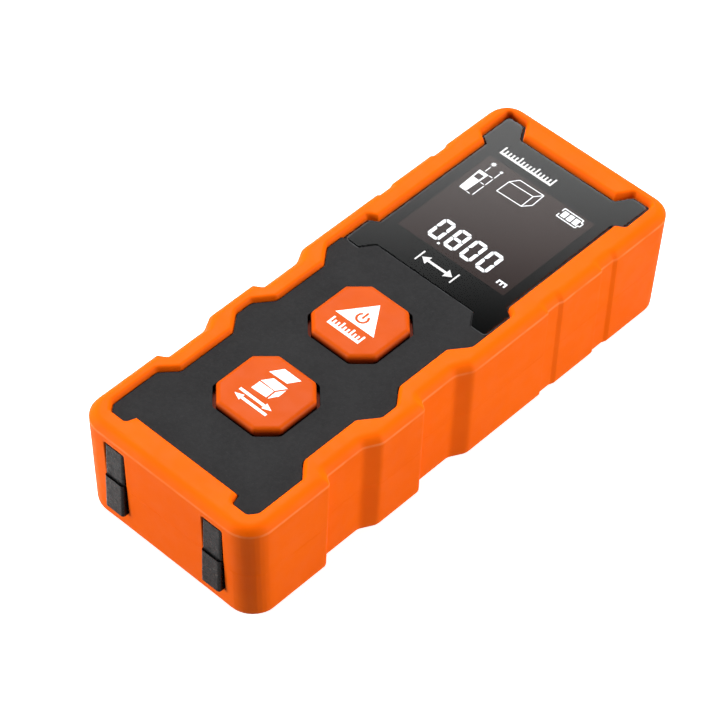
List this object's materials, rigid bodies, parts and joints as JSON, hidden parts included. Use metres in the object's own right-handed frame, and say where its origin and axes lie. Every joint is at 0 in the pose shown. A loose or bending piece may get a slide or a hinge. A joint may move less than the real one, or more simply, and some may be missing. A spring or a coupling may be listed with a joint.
{
  "type": "laser distance meter",
  "caption": "Pocket laser distance meter with an orange rubber jacket, square display, cut-cornered keys, hard rear reference pads and a hinged battery door.",
  "frame": {"origin": "bottom centre of the outside box, lying on its back", "axes": "+Y towards the laser end, +Z out of the display, +X to the right of the display"},
  "size_m": [0.0392, 0.1042, 0.023],
  "materials": {
    "case_black": "fine spark-eroded grain",
    "door_black": "fine spark-eroded grain",
    "rubber_orange": "satin soft-touch",
    "seal_rubber": "matte",
    "window": "hard-coated gloss, clear over the display",
    "adhesive": "thin tape",
    "lcd_glass": "negative display, pale segments on brown-grey",
    "tray_plastic": "white moulding",
    "light_panel": "diffuser",
    "zebra_rubber": "striped conductive rubber",
    "key_orange": "satin, fine grain",
    "silicone": "translucent matte",
    "circuit_board": "green solder mask",
    "chip": "moulded epoxy",
    "tinned_steel": "tinned",
    "bench_metal": "die-cast, dark passivated",
    "gold_can": "gold flash",
    "lens_glass": "coated",
    "front_glass": "red-tinted, hard coated",
    "cell_wrap": "plain printed sleeve",
    "contact_metal": "nickel plated",
    "foam": "closed-cell foam",
    "screw_steel": "blackened zinc"
  },
  "bodies": {
    "housing": {"upper_casing": "case_black", "lower_casing": "case_black", "front_bezel": "case_black", "upper_bumper": "rubber_orange", "lower_bumper": "rubber_orange", "case_gasket": "seal_rubber", "display_window": "window", "window_adhesive": "adhesive", "lcd_panel": "lcd_glass", "lcd_holder": "tray_plastic", "lcd_backlight": "light_panel", "zebra_strip": "zebra_rubber", "measure_dome": "silicone", "units_dome": "silicone", "keypad_sheet": "silicone", "main_board": "circuit_board", "receiver_board": "circuit_board", "laser_board": "circuit_board", "processor_chip": "chip", "small_components": "chip", "sensor_connector": "chip", "buzzer": "chip", "shield_can": "tinned_steel", "optical_bench": "bench_metal", "laser_barrel": "bench_metal", "lens_ring": "bench_metal", "laser_diode": "gold_can", "photodiode": "gold_can", "collimating_lens": "lens_glass", "receiver_lens": "lens_glass", "emitter_window": "front_glass", "receiver_window": "front_glass", "cell_left": "cell_wrap", "cell_right": "cell_wrap", "rear_spring": "contact_metal", "front_spring": "contact_metal", "link_plate": "contact_metal", "positive_contact": "contact_metal", "negative_contact": "contact_metal", "case_screws": "screw_steel", "board_screws": "screw_steel", "bench_screws": "screw_steel"},
    "measure_key": {"measure_button": "key_orange"},
    "units_key": {"units_button": "key_orange"},
    "door": {"battery_door": "door_black", "door_pad": "foam"}
  },
  "joints": [
    {"name": "measure_press", "type": "slide", "parent": "housing", "child": "measure_key", "axis": [0, 0, -1], "range_m": [0, 0.0007], "stiffness_N_per_m": 1500, "deforming": ["measure_dome"]},
    {"name": "units_press", "type": "slide", "parent": "housing", "child": "units_key", "axis": [0, 0, -1], "range_m": [0, 0.0007], "stiffness_N_per_m": 1500, "deforming": ["units_dome"]},
    {"name": "door_hinge", "type": "hinge", "parent": "housing", "child": "door", "pos_m": [0, 0.004, 0.0005], "axis": [1, 0, 0], "range_deg": [0, 60]}
  ]
}
